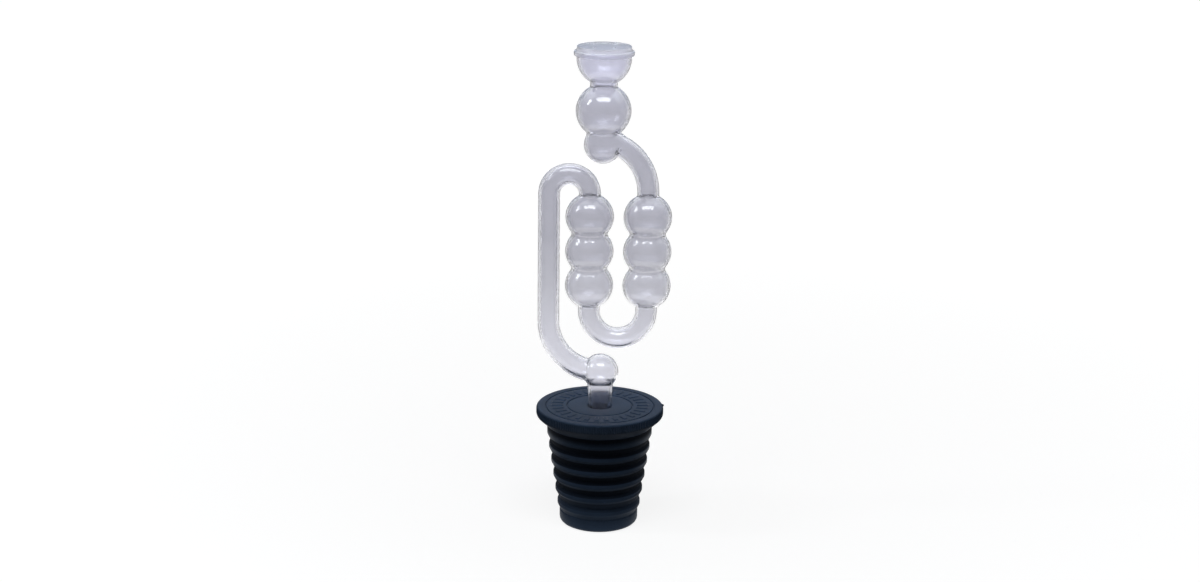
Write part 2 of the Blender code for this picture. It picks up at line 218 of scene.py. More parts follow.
# Camera, fitted to the photograph
PHOTO_WIDTH_PX = 1200
PHOTO_FOCAL_PX = 2108.8
SENSOR_WIDTH_MM = 36.0
CAMERA_PLACE = Vector((-0.0005, -0.7862, 0.3182))
CAMERA_PITCH = math.radians(15.87)
CAMERA_ROLL = math.radians(0.734)

# Rubber, from the painted shade in its grooves to its plain tone on the noses, flange and foot
GROOVE_PAINTED_SHADE_TONE = (0.003, 0.004, 0.007)
PLAIN_RUBBER_TONE = (0.023, 0.037, 0.064)
GROOVE_ROUGHNESS = 0.80
PLAIN_RUBBER_ROUGHNESS = 0.42
PAINTED_SHADE_FADE_REACH = 0.0003
# The painted shade in the grooves fades below the first height and reaches this share of the plain tone
# at the second, near the foot, where light from the floor reaches
FOOT_SHADE_FADE_START_Z = 0.018
FOOT_SHADE_FADE_FULL_Z = 0.004
FOOT_UNSHADED_SHARE = 0.9
RUBBER_SPECULAR_LEVEL = 0.10
RUBBER_SPECULAR_TINT = (0.40, 0.66, 1.0, 1.0)

# Clear plastic
PLASTIC_IOR = 1.30
PLASTIC_SHADOW_TINT = (0.86, 0.86, 0.88, 1.0)
COAT_ROUGHNESS = 0.04
AIRLOCK_ROUGHNESS = 0.13
AIRLOCK_HAZE = 0.02
CAP_ROUGHNESS = 0.26
CAP_HAZE = 0.06
# The roughest patches, as a multiple of the smoothest
ROUGHNESS_SPREAD = 1.6
# Tints at shares of the height above the bung, with painted light and shade: lighter low down and at
# the cup, darker up the bulbs
AIRLOCK_TINTS_AND_PAINTED_SHADE = (
    (0.04, (0.795, 0.795, 0.844)),
    (0.10, (0.873, 0.873, 0.917)),
    (0.20, (0.834, 0.834, 0.878)),
    (0.34, (0.755, 0.755, 0.795)),
    (0.50, (0.685, 0.685, 0.730)),
    (0.86, (0.690, 0.690, 0.745)),
    (0.94, (0.765, 0.765, 0.845)),
)
CAP_TINTS = ((0.0, (0.86, 0.86, 0.92)), (1.0, (0.86, 0.86, 0.92)))

# Floor: levels at distances from the middle of the bung, as bounced light and as a mirror image
FLOOR_REACH = 4.0
FLOOR_BOUNCED = ((0.015, 0.8), (0.035, 0.28), (0.09, 0.0))
# In mirror images the floor holds a painted shadow, a dark ring just outside the foot, and a painted
# bright ring further out
FLOOR_MIRRORED = (
    (0.026, 0.717),
    (0.034, 0.0239),
    (0.055, 0.0239),
    (0.080, 1.355),
    (0.140, 1.355),
    (0.190, 0.0239),
)
FLOOR_BEHIND_Y = 0.08
FLOOR_BEHIND_LEVEL = 0.5
FLOOR_WHITE_NEAR = (0.05, 0.86)
FLOOR_WHITE_FAR = (0.6, 1.0)
FLOOR_PAINT = 0.03
FLOOR_PAINT_SHOWN = 0.25

# World: colours by the height of the direction, in mirror images and as seen or seen through
AMBIENT_COLOUR = (0.95, 0.97, 1.0, 1.0)
AMBIENT_STRENGTH = 0.04
MIRRORED_SKY = (
    (0.02, (0.55, 0.58, 0.62)),
    (0.20, (0.32, 0.38, 0.50)),
    (0.36, (0.34, 0.40, 0.52)),
    (0.46, (1.0, 1.08, 1.2)),
    (0.62, (1.3, 1.4, 1.55)),
    (0.90, (1.9, 2.0, 2.2)),
)
SHOWN_SKY = ((0.45, (1.0, 1.0, 1.0)), (0.80, (2.1, 2.2, 2.45)))
DARK_FRONT_Y = -0.40
DARK_FRONT_SHARE = 0.04

# Lamps: name, place, aim, width, depth and brightness
LAMP_COLOUR = (0.94, 0.97, 1.0)
LAMPS = (
    ("overhead_strip", (0.0, -0.35, 0.77), (0.0, -0.30, 0.0), 0.66, 0.24, 6.0),
    ("left_window", (-0.73, -0.145, 0.62), (0.0, 0.0, 0.12), 0.13, 0.30, 9.5),
)


# Mesh tools

def skin_mesh(name, rings, closed):
    """Join rings of points with quads. A closed run meets itself, an open one gets flat ends."""
    rings = np.asarray(rings, float)
    count, sides = rings.shape[:2]
    first = np.arange(count * sides).reshape(count, sides)
    first_next = np.roll(first, -1, axis=1)
    second = np.roll(first, -1, axis=0)
    second_next = np.roll(first_next, -1, axis=0)
    quads = np.stack([first, second, second_next, first_next], axis=-1)
    if not closed:
        quads = quads[:-1]
    faces = quads.reshape(-1, 4).tolist()
    if not closed:
        faces.append(first[0].tolist())
        faces.append(first[-1][::-1].tolist())
    mesh = bpy.data.meshes.new(name)
    mesh.from_pydata(rings.reshape(-1, 3).tolist(), [], faces)
    build = bmesh.new()
    build.from_mesh(mesh)
    bmesh.ops.recalc_face_normals(build, faces=build.faces)
    build.to_mesh(mesh)
    build.free()
    return mesh


def add_object(name, mesh):
    """Put a mesh in the scene, smooth apart from its sharp edges."""
    mesh.shade_smooth()
    mesh.set_sharp_from_angle(angle=SMOOTH_ANGLE)
    item = bpy.data.objects.new(name, mesh)
    bpy.context.scene.collection.objects.link(item)
    return item


def boolean_mesh(name, base, steps):
    """The mesh left after joining and cutting a base with other closed meshes, in order."""
    body = add_object(name + "_base", base)
    helpers = []
    for operation, mesh in steps:
        helper = add_object(mesh.name + "_helper", mesh)
        helpers.append(helper)
        modifier = body.modifiers.new(mesh.name, "BOOLEAN")
        modifier.operation = operation
        modifier.solver = "MANIFOLD"
        modifier.object = helper
    graph = bpy.context.evaluated_depsgraph_get()
    result = bpy.data.meshes.new_from_object(body.evaluated_get(graph))
    result.name = name
    for item in [body] + helpers:
        bpy.data.objects.remove(item, do_unlink=True)
    return result


def rounded_profile(corners, closed=True):
    """Points of a turned profile whose corners are (radius, height, rounding)."""
    points = []
    count = len(corners)
    for index, (radius, height, rounding) in enumerate(corners):
        here = Vector((radius, height))
        ends_here = not closed and index in (0, count - 1)
        if rounding <= 0.0 or ends_here:
            points.append(here)
            continue
        before = Vector(corners[index - 1][:2]) - here
        after = Vector(corners[(index + 1) % count][:2]) - here
        room = CORNER_ROOM * min(before.length, after.length)
        before.normalize()
        after.normalize()
        half = before.angle(after) / 2.0
        setback = min(rounding / math.tan(half), room)
        rounding = setback * math.tan(half)
        middle = here + (before + after).normalized() * (rounding / math.sin(half))
        start = here + before * setback - middle
        turn = math.pi - 2.0 * half
        side = 1.0 if before.cross(after) < 0.0 else -1.0
        steps = max(2, math.ceil(turn / ARC_STEP))
        for step in range(steps + 1):
            angle = side * turn * step / steps
            points.append(middle + Matrix.Rotation(angle, 2) @ start)
    return [(point.x, point.y) for point in points]


def turned_rings(profile, sides):
    """Rings of points that turn a profile of (radius, height) round the Z axis."""
    angles = 2.0 * math.pi * np.arange(sides) / sides
    profile = np.asarray(profile, float)
    rings = np.empty((len(profile), sides, 3))
    rings[:, :, 0] = profile[:, :1] * np.cos(angles)
    rings[:, :, 1] = profile[:, :1] * np.sin(angles)
    rings[:, :, 2] = profile[:, 1:]
    return rings


# Bung

def stem_radius(height):
    """Outer radius of the stem: a shoulder above the bung, then a slight draft to the tip."""
    if height >= BUNG_HEIGHT:
        share = (height - BUNG_HEIGHT) / TRAP_BULB_RISE
        low = STEM_SEAT_DIAMETER
        high = STEM_TOP_DIAMETER
    else:
        share = (height - STEM_TIP_Z) / (BUNG_HEIGHT - STEM_TIP_Z)
        low = STEM_TIP_DIAMETER
        high = STEM_SEAT_DIAMETER
    return (low + (high - low) * share) / 2.0


def groove_corners(radius):
    """A shallow ring groove in the bung's flat top."""
    half = GROOVE_WIDTH / 2.0
    floor = BUNG_HEIGHT - GROOVE_DEPTH
    return [
        (radius - half, BUNG_HEIGHT, GROOVE_ROUND),
        (radius - half / 2.0, floor, GROOVE_ROUND),
        (radius + half / 2.0, floor, GROOVE_ROUND),
        (radius + half, BUNG_HEIGHT, GROOVE_ROUND),
    ]


def mark_corners():
    """Rings on the flat top between which the raised marks stand."""
    low, high = MARK_RADII
    edge = MARK_HEIGHT
    return [(radius, BUNG_HEIGHT, 0.0) for radius in (low - edge, low, high, high + edge)]


def rib_corners():
    """Ribs below the collar, each with a sloping ledge above its nose, then the foot band's ledge."""
    corners = []
    for rib in range(RIB_COUNT):
        nose_radius = FIRST_RIB_RADIUS + (FOOT_RADIUS - FIRST_RIB_RADIUS) * rib / RIB_COUNT
        nose_z = FIRST_RIB_Z - RIB_PITCH * rib
        corners.append((nose_radius - RIB_DEPTH, nose_z + RIB_LEDGE_HEIGHT, RIB_VALLEY_ROUND))
        corners.append((nose_radius, nose_z, RIB_NOSE_ROUND))
        corners.append((nose_radius, nose_z - RIB_NOSE_HEIGHT, RIB_NOSE_ROUND))
    ledge_top_z = FOOT_BAND_HEIGHT + FOOT_LEDGE_DEPTH
    corners.append((FOOT_RADIUS - FOOT_LEDGE_DEPTH, ledge_top_z, RIB_VALLEY_ROUND))
    corners.append((FOOT_RADIUS, FOOT_BAND_HEIGHT, RIB_NOSE_ROUND))
    return corners


def bung_corners():
    """Bung from its bore's mouth over the top and down the outside, then up the hollow and the bore."""
    # The flange's side ends where the rounding into its bevel, a turn of about 45 degrees, starts
    bevel_setback = FLANGE_FOOT_EDGE * math.tan(math.pi / 8.0)
    bevel_top_z = BUNG_HEIGHT - FLANGE_SIDE_HEIGHT - bevel_setback
    pocket_top_z = BUNG_HEIGHT - TOP_PLATE_THICKNESS
    sleeve_foot_z = STEM_TIP_Z - SLEEVE_REACH
    skin = RIB_DEPTH + BUNG_WALL
    bore_mouth = stem_radius(BUNG_HEIGHT) + FIT_CLEARANCE
    bore_tip = stem_radius(STEM_TIP_Z) + FIT_CLEARANCE
    corners = [(bore_mouth + BORE_MOUTH_CHAMFER, BUNG_HEIGHT, SMALL_ROUND / 2.0)]
    corners += groove_corners(GROOVE_RADII[0])
    corners += mark_corners()
    corners += groove_corners(GROOVE_RADII[1])
    corners.append((FLANGE_RADIUS, BUNG_HEIGHT, FLANGE_TOP_EDGE))
    corners.append((FLANGE_RADIUS, bevel_top_z, FLANGE_FOOT_EDGE))
    corners.append((COLLAR_RADIUS, COLLAR_TOP_Z, SMALL_ROUND))
    corners.append((COLLAR_RADIUS, COLLAR_TOP_Z - COLLAR_HEIGHT, RIB_NOSE_ROUND))
    corners += rib_corners()
    corners.append((FOOT_RADIUS, 0.0, FOOT_EDGE))
    corners.append((FOOT_RADIUS - skin, 0.0, SMALL_ROUND))
    corners.append((COLLAR_RADIUS - skin, pocket_top_z, 2.0 * SMALL_ROUND))
    corners.append((bore_mouth + SLEEVE_WALL, pocket_top_z, 2.0 * SMALL_ROUND))
    corners.append((bore_tip + SLEEVE_WALL, sleeve_foot_z, SMALL_ROUND))
    corners.append((bore_tip, sleeve_foot_z, SMALL_ROUND))
    corners.append((bore_tip, STEM_TIP_Z, 0.0))
    corners.append((bore_mouth, BUNG_HEIGHT - BORE_MOUTH_CHAMFER, 0.0))
    return corners


def add_knurl(rings):
    """Draw in every second column of the flange's edge, fading out at its top and foot."""
    radius = np.hypot(rings[:, :, 0], rings[:, :, 1])
    below = BUNG_HEIGHT - rings[:, :, 2]
    from_edge = np.minimum(below, KNURL_HEIGHT + KNURL_FADE - below)
    depth = KNURL_DEPTH * np.clip(from_edge / KNURL_FADE, 0.0, 1.0)
    depth = np.where(radius > FLANGE_RADIUS - 2.0 * FLANGE_TOP_EDGE, depth, 0.0)
    depth[:, 1::2] = 0.0
    scale = 1.0 - depth / radius
    rings[:, :, 0] *= scale
    rings[:, :, 1] *= scale


def add_marks(rings):
    """Raise a ring of plain bars on the flat top."""
    sides = rings.shape[1]
    radius = np.hypot(rings[:, :, 0], rings[:, :, 1])
    low, high = MARK_RADII
    on_top = np.abs(rings[:, :, 2] - BUNG_HEIGHT) < TOUCHING
    on_ring = on_top & (radius > low - TOUCHING) & (radius < high + TOUCHING)
    phase = (np.arange(sides) * MARK_COUNT / sides) % 1.0
    rings[:, :, 2] += np.where(on_ring & (phase < MARK_SHARE)[None, :], MARK_HEIGHT, 0.0)


def add_nib(rings):
    """Pull out the small stub that the mould's gate leaves on the flange's top edge."""
    angle = np.arctan2(rings[:, :, 1], rings[:, :, 0]) - NIB_ANGLE
    radius = np.hypot(rings[:, :, 0], rings[:, :, 1])
    across = angle * FLANGE_RADIUS / NIB_WIDTH
    up = (rings[:, :, 2] - BUNG_HEIGHT) / NIB_WIDTH
    near = np.clip(1.0 - across ** 2, 0.0, 1.0) * np.clip(1.0 - up ** 2, 0.0, 1.0)
    reach = np.where(radius > FLANGE_RADIUS - FLANGE_TOP_EDGE, NIB_REACH * np.sqrt(near), 0.0)
    rings[:, :, 0] += reach * math.cos(NIB_ANGLE)
    rings[:, :, 1] += reach * math.sin(NIB_ANGLE)


def build_bung(material):
    """The bung as one turned solid, with a knurled edge, raised bars and the mould's stub."""
    rings = turned_rings(rounded_profile(bung_corners()), 2 * KNURL_TEETH)
    add_knurl(rings)
    add_marks(rings)
    add_nib(rings)
    piece = add_object("rubber_bung", skin_mesh("rubber_bung", rings, closed=True))
    piece.data.materials.append(material)
    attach(piece, "bung")
    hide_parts("bung")


# Airlock

def smooth_max(first, second, blend):
    """The larger of two lengths, eased over where they are alike, as a moulded fillet is."""
    near = max(blend - abs(first - second), 0.0) / blend
    return max(first, second) + near * near * blend / 4.0


def flared_reach(radius, middle, out, bulb):
    """Reach of a tube's wall from its middle line, widening to the bulb that the tube runs into."""
    if bulb is None:
        return radius
    bulb_middle, bulb_radius = bulb
    offset = bulb_middle - middle
    if offset.length >= bulb_radius:
        return radius
    along = offset.dot(out)
    to_bulb = along + math.sqrt(bulb_radius ** 2 - offset.length_squared + along ** 2)
    return smooth_max(radius, to_bulb, FLARE_BLEND)


def tube_ring(centre, direction, radius, weld, bulb):
    """A ring of points round the tube, closer together beside the two weld lines, which stand proud."""
    step = 2.0 * math.pi / TUBE_SIDES
    spread = min(WELD_HALF_WIDTH / radius, WELD_LARGEST_SPREAD * step)
    middle = Vector((centre[0], 0.0, centre[1]))
    ring = []
    for index in range(TUBE_SIDES):
        offsets = ((0.0, 0.0),)
        if index % (TUBE_SIDES // 2) == 0:
            offsets = WELD_PROFILE
        for aside, lift in offsets:
            turn = index * step + aside * spread
            in_plane = math.cos(turn)
            out = Vector((in_plane * direction[1], math.sin(turn), -in_plane * direction[0]))
            reach = flared_reach(radius, middle, out, bulb) + weld * lift
            ring.append(middle + out * reach)
    return ring


def swept_mesh(name, stations, weld, bulb=None):
    """Skin a round tube through stations of (centre, direction, radius) in the plane y = 0."""
    return skin_mesh(name, [tube_ring(*station, weld, bulb) for station in stations], closed=False)


def bend(centre, bend_radius, start, end, start_radius, end_radius, turn_step=BEND_STEP):
    """Stations along an arc of the tube's middle line, between two angles from +X."""
    steps = math.ceil(abs(end - start) / turn_step)
    turn = 1.0 if end > start else -1.0
    stations = []
    for step in range(steps + 1):
        share = step / steps
        angle = start + (end - start) * share
        out = (math.cos(angle), math.sin(angle))
        place = (centre[0] + bend_radius * out[0], centre[1] + bend_radius * out[1])
        direction = (-out[1] * turn, out[0] * turn)
        stations.append((place, direction, start_radius + (end_radius - start_radius) * share))
    return stations


def bead_places(centres, radii, joins):
    """Heights at which to cut a string of round bulbs: even in angle, and close at each join."""
    places = set()
    for centre, radius in zip(centres, radii):
        for step in range(BULB_STEPS + 1):
            angle = math.pi * step / BULB_STEPS
            places.add(round(centre - radius * math.cos(angle), PLACE_DIGITS))
    for join in joins:
        for step in range(JOIN_STEPS + 1):
            places.add(round(join + BULB_BLEND * (2.0 * step / JOIN_STEPS - 1.0), PLACE_DIGITS))
    return sorted(places)


def bead_radius(place, centres, radii, core, blend):
    """Radius at one height of a string of bulbs on a core tube."""
    radius = core
    for centre, bulb_radius in zip(centres, radii):
        inside = bulb_radius ** 2 - (place - centre) ** 2
        if inside > 0.0:
            radius = smooth_max(radius, math.sqrt(inside), blend)
    return radius


def straight_stations(x, heights, radius_at, direction):
    """Stations along an upright stretch, in the order of travel."""
    if direction < 0.0:
        heights = heights[::-1]
    return [((x, height), (0.0, direction), radius_at(height)) for height in heights]


def column_stations(x, direction, inset):
    """Stations through one column of bulbs with a narrow waist between each two."""
    centres = [LOW_BULB_Z + BULB_PITCH * index for index in range(BULB_COUNT)]
    radii = [BULB_DIAMETER / 2.0 - inset] * BULB_COUNT
    tube = TUBE_DIAMETER / 2.0 - inset
    waist = BULB_WAIST_DIAMETER / 2.0 - inset
    waist_reach = chord_reach(BULB_DIAMETER, BULB_WAIST_DIAMETER)
    joins = [centres[0] - BULB_REACH, centres[-1] + BULB_REACH]
    for centre in centres[:-1]:
        joins += [centre + waist_reach, centre + waist_reach + BULB_WAIST_LENGTH]

    def radius_at(place):
        if centres[0] < place < centres[-1]:
            return bead_radius(place, centres, radii, waist, BULB_BLEND)
        return bead_radius(place, centres, radii, tube, TUBE_BLEND)

    low = joins[0] - BULB_BLEND
    high = joins[1] + BULB_BLEND
    places = [place for place in bead_places(centres, radii, joins) if low <= place <= high]
    return straight_stations(x, places, radius_at, direction)


def tube_stations(inset):
    """Stations of the bent tube from the trap bulb to the small bulb, drawn in by an inset."""
    tube = TUBE_DIAMETER / 2.0 - inset
    trap_tube = TRAP_TUBE_DIAMETER / 2.0 - inset
    lower_bend = (0.0, LOWER_BEND_Z)
    gooseneck = (RISER_X + GOOSENECK_RADIUS, GOOSENECK_Z)
    ubend = (LEFT_X + UBEND_RADIUS, UBEND_Z)
    upper_bend = (UPPER_BEND_X, UPPER_BEND_Z)
    stations = bend(lower_bend, LOWER_BEND_RADIUS, -math.pi / 2.0, -math.pi, trap_tube, tube)
    stations += bend(gooseneck, GOOSENECK_RADIUS, math.pi, 0.0, tube, tube)
    stations += column_stations(LEFT_X, -1.0, inset)
    stations += bend(ubend, UBEND_RADIUS, -math.pi, 0.0, tube, tube)
    stations += column_stations(RIGHT_X, 1.0, inset)
    stations += bend(upper_bend, UPPER_BEND_RADIUS, 0.0, UPPER_BEND_TURN, tube, tube, UPPER_BEND_STEP)
    return stations


def small_bulb(inset):
    """Middle and radius of the ball, just inside the small bulb's skin, that the tube widens to."""
    return Vector((0.0, 0.0, SMALL_BULB_Z)), SMALL_BULB_DIAMETER / 2.0 - inset - FLARE_INSET


def stem_stations(inset, wall, overshoot):
    """Stations down through the trap bulb and the stem, past the tip for the bore."""
    radius = TRAP_BULB_DIAMETER / 2.0 - inset
    join = TRAP_Z - chord_reach(TRAP_BULB_DIAMETER, STEM_TOP_DIAMETER)
    top = TRAP_Z + radius * math.cos(POLE_ANGLE)

    def radius_at(place):
        if place > TRAP_Z:
            return math.sqrt(radius ** 2 - (place - TRAP_Z) ** 2)
        return bead_radius(place, [TRAP_Z], [radius], stem_radius(place) - wall, STEM_BLEND)

    low = join - BULB_BLEND
    places = [place for place in bead_places([TRAP_Z], [radius], [join]) if low <= place < top]
    places = [STEM_TIP_Z + LIP_ROUND, BUNG_HEIGHT] + places + [top]
    stations = straight_stations(0.0, places, radius_at, -1.0)
    tip = stem_radius(STEM_TIP_Z) - wall
    if overshoot:
        stations.append(((0.0, STEM_TIP_Z), (0.0, -1.0), tip))
        stations.append(((0.0, STEM_TIP_Z - overshoot), (0.0, -1.0), tip))
    else:
        stations.append(((0.0, STEM_TIP_Z), (0.0, -1.0), tip - LIP_ROUND))
    return stations


def stack_stations(inset, overshoot):
    """Stations up through the small bulb, the big bulb and the cup, past the rim for the hollow."""
    centres = [SMALL_BULB_Z, BIG_BULB_Z, CUP_Z]
    diameters = [SMALL_BULB_DIAMETER, BIG_BULB_DIAMETER, CUP_DIAMETER]
    radii = [diameter / 2.0 - inset for diameter in diameters]
    stack_neck = STACK_NECK_DIAMETER / 2.0 - inset
    cup_neck = CUP_NECK_DIAMETER / 2.0 - inset
    joins = [
        STACK_NECK_Z,
        STACK_NECK_Z + STACK_NECK_LENGTH,
        BIG_BULB_Z + chord_reach(BIG_BULB_DIAMETER, CUP_NECK_DIAMETER),
        CUP_Z - chord_reach(CUP_DIAMETER, CUP_NECK_DIAMETER),
    ]
    low = SMALL_BULB_Z - radii[0] * math.cos(POLE_ANGLE)

    def radius_at(place):
        if place < SMALL_BULB_Z:
            return math.sqrt(radii[0] ** 2 - (place - SMALL_BULB_Z) ** 2)
        core = stack_neck if place < BIG_BULB_Z else cup_neck
        return bead_radius(place, centres, radii, core, BULB_BLEND)

    places = [low] + [place for place in bead_places(centres, radii, joins) if low < place < CUP_Z]
    stations = straight_stations(0.0, places, radius_at, 1.0)
    cup = radii[2]
    lip = cup + LIP_ROUND if overshoot else cup - LIP_ROUND
    ends = [(CUP_Z, cup), (CUP_RIM_Z - LIP_ROUND, cup), (CUP_RIM_Z + overshoot, lip)]
    stations += [((0.0, height), (0.0, 1.0), radius) for height, radius in ends]
    return stations


def build_airlock(material):
    """The two welded halves as one clear shell, with a fine weld line where they meet."""
    outer_tube = swept_mesh("outer_tube", tube_stations(0.0), WELD_HEIGHT, small_bulb(0.0))
    steps = [
        ("UNION", swept_mesh("outer_stem", stem_stations(0.0, 0.0, 0.0), WELD_HEIGHT)),
        ("UNION", swept_mesh("outer_stack", stack_stations(0.0, 0.0), WELD_HEIGHT)),
        ("DIFFERENCE", swept_mesh("inner_tube", tube_stations(WALL), 0.0, small_bulb(WALL))),
        ("DIFFERENCE", swept_mesh("inner_stem", stem_stations(WALL, STEM_WALL, WALL), 0.0)),
        ("DIFFERENCE", swept_mesh("inner_stack", stack_stations(WALL, WALL), 0.0)),
    ]
    piece = add_object("clear_airlock", boolean_mesh("clear_airlock", outer_tube, steps))
    piece.data.materials.clear()
    piece.data.materials.append(material)
    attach(piece, "airlock")
    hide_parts("airlock_front_half", "airlock_rear_half")


# Dust cap

def cap_corners():
    """Dust cap from the middle of its crown, down the outside of the rim and back to its underside."""
    cup_radius = CUP_DIAMETER / 2.0
    skirt_inside = cup_radius + FIT_CLEARANCE
    rim_radius = skirt_inside + CAP_RIM_WALL
    crown_radius = rim_radius - CAP_FLARE
    seat_z = CUP_RIM_Z + FIT_CLEARANCE
    underside_radius = cup_radius - CAP_SEAT_WIDTH
    underside_z = CAP_CROWN_Z - CAP_CROWN_THICKNESS
    bead_top = CAP_FOOT_Z + 2.0 * CAP_RIM_WALL
    return [
        (CAP_MIDDLE_RADIUS, CAP_CROWN_Z, 0.0),
        (crown_radius, CAP_CROWN_Z, CAP_CROWN_EDGE),
        (crown_radius + CAP_CROWN_DRAFT, bead_top, CAP_CORNER_ROUND),
        (rim_radius, bead_top, CAP_RIM_ROUND),
        (rim_radius, CAP_FOOT_Z, CAP_RIM_ROUND),
        (skirt_inside, CAP_FOOT_Z, CAP_INNER_ROUND),
        (skirt_inside, seat_z, CAP_INNER_ROUND),
        (underside_radius, seat_z, CAP_INNER_ROUND),
        (underside_radius, underside_z, CAP_CORNER_ROUND),
        (CAP_MIDDLE_RADIUS, underside_z, 0.0),
    ]


def build_cap(material):
    """The cap as one turned solid, with its vents cut through the crown."""
    profile = rounded_profile(cap_corners(), closed=False)
    crown = skin_mesh("clear_cap", turned_rings(profile, CAP_SIDES), closed=False)
    steps = []
    reach = 2.0 * CAP_CROWN_THICKNESS
    for index in range(VENT_COUNT):
        angle = 2.0 * math.pi * (index + 0.5) / VENT_COUNT
        place = np.array([math.cos(angle), math.sin(angle), 0.0]) * VENT_CIRCLE_DIAMETER / 2.0
        vent = [(VENT_DIAMETER / 2.0, CAP_CROWN_Z + side * reach) for side in (1.0, -1.0)]
        rings = turned_rings(vent, VENT_SIDES) + place
        steps.append(("DIFFERENCE", skin_mesh("vent_%d" % index, rings, closed=False)))
    piece = add_object("clear_cap", boolean_mesh("clear_cap", crown, steps))
    piece.data.materials.clear()
    piece.data.materials.append(material)
    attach(piece, "dust_cap")
    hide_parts("dust_cap")


# Materials

def new_material(name):
    """A new material, its node tree and its shader."""
    material = bpy.data.materials.new(name)
    material.use_nodes = True
    tree = material.node_tree
    return material, tree, tree.nodes["Principled BSDF"]


def noise_node(tree, place, scale, detail):
    node = tree.nodes.new("ShaderNodeTexNoise")
    node.inputs["Scale"].default_value = scale
    node.inputs["Detail"].default_value = detail
    tree.links.new(place, node.inputs["Vector"])
    return node.outputs["Fac"]


def ramp_node(tree, value, stops):
    node = tree.nodes.new("ShaderNodeValToRGB")
    ramp = node.color_ramp
    while len(ramp.elements) < len(stops):
        ramp.elements.new(1.0)
    for element, (position, colour) in zip(ramp.elements, stops):
        element.position = position
        element.color = (*colour, 1.0)
    tree.links.new(value, node.inputs["Fac"])
    return node.outputs["Color"]


def grey_ramp_node(tree, value, stops):
    """A ramp of plain levels."""
    return ramp_node(tree, value, [(position, (level,) * 3) for position, level in stops])


def range_node(tree, value, low, high, to_low, to_high):
    node = tree.nodes.new("ShaderNodeMapRange")
    node.inputs["From Min"].default_value = low
    node.inputs["From Max"].default_value = high
    node.inputs["To Min"].default_value = to_low
    node.inputs["To Max"].default_value = to_high
    tree.links.new(value, node.inputs["Value"])
    return node.outputs["Result"]


def bump_node(tree, height, strength, distance):
    node = tree.nodes.new("ShaderNodeBump")
    node.inputs["Strength"].default_value = strength
    node.inputs["Distance"].default_value = distance
    tree.links.new(height, node.inputs["Height"])
    return node.outputs["Normal"]


def multiply_node(tree, first, second):
    node = tree.nodes.new("ShaderNodeMix")
    node.data_type = "RGBA"
    node.blend_type = "MULTIPLY"
    node.inputs["Factor"].default_value = 1.0
    tree.links.new(first, node.inputs["A"])
    tree.links.new(second, node.inputs["B"])
    return node.outputs["Result"]


def larger_node(tree, first, second):
    node = tree.nodes.new("ShaderNodeMath")
    node.operation = "MAXIMUM"
    tree.links.new(first, node.inputs[0])
    tree.links.new(second, node.inputs[1])
    return node.outputs["Value"]


def unshaded_share(tree, place):
    """From 0 in the grooves between the ribs, which carry painted shade, to 1 on the noses, flange and
    foot, which keep the plain tone. The painted shade fades out towards the foot.
    """
    apart = tree.nodes.new("ShaderNodeSeparateXYZ")
    tree.links.new(place, apart.inputs["Vector"])
    flat = tree.nodes.new("ShaderNodeVectorMath")
    flat.operation = "MULTIPLY"
    flat.inputs[1].default_value = (1.0, 1.0, 0.0)
    tree.links.new(place, flat.inputs[0])
    radius = tree.nodes.new("ShaderNodeVectorMath")
    radius.operation = "LENGTH"
    tree.links.new(flat.outputs["Vector"], radius.inputs[0])
    taper = (FIRST_RIB_RADIUS - FOOT_RADIUS) / (RIB_PITCH * RIB_COUNT)
    straight = tree.nodes.new("ShaderNodeMath")
    straight.operation = "MULTIPLY_ADD"
    straight.inputs[1].default_value = -taper
    tree.links.new(apart.outputs["Z"], straight.inputs[0])
    tree.links.new(radius.outputs["Value"], straight.inputs[2])
    nose = FIRST_RIB_RADIUS - taper * FIRST_RIB_Z
    on_ribs = range_node(tree, straight.outputs["Value"], nose - PAINTED_SHADE_FADE_REACH, nose, 0.0, 1.0)
    height = apart.outputs["Z"]
    on_flange = range_node(tree, height, COLLAR_TOP_Z, COLLAR_TOP_Z + PAINTED_SHADE_FADE_REACH, 0.0, 1.0)
    on_foot = range_node(tree, height, FOOT_SHADE_FADE_START_Z, FOOT_SHADE_FADE_FULL_Z, 0.0, FOOT_UNSHADED_SHARE)
    return larger_node(tree, larger_node(tree, on_ribs, on_flange), on_foot)


def rubber_material():
    """Matte moulded rubber: blue-black, with painted shade that darkens its duller grooves, and a fine
    pebbled skin.
    """
    material, tree, shader = new_material("black_rubber_look")
    place = tree.nodes.new("ShaderNodeTexCoord").outputs["Object"]
    blotch = noise_node(tree, place, scale=140.0, detail=4.0)
    grain = noise_node(tree, place, scale=2600.0, detail=3.0)
    unshaded = unshaded_share(tree, place)
    # Painted shade: a darker tone in the grooves than on the noses, flange and foot
    tone = ramp_node(tree, unshaded, ((0.0, GROOVE_PAINTED_SHADE_TONE), (1.0, PLAIN_RUBBER_TONE)))
    mottle = grey_ramp_node(tree, blotch, ((0.30, 0.80), (0.70, 1.0)))
    roughness = range_node(tree, unshaded, 0.0, 1.0, GROOVE_ROUGHNESS, PLAIN_RUBBER_ROUGHNESS)
    pebbles = bump_node(tree, grain, strength=0.25, distance=0.0001)
    tree.links.new(multiply_node(tree, tone, mottle), shader.inputs["Base Color"])
    tree.links.new(roughness, shader.inputs["Roughness"])
    tree.links.new(pebbles, shader.inputs["Normal"])
    shader.inputs["Specular IOR Level"].default_value = RUBBER_SPECULAR_LEVEL
    shader.inputs["Specular Tint"].default_value = RUBBER_SPECULAR_TINT
    return material


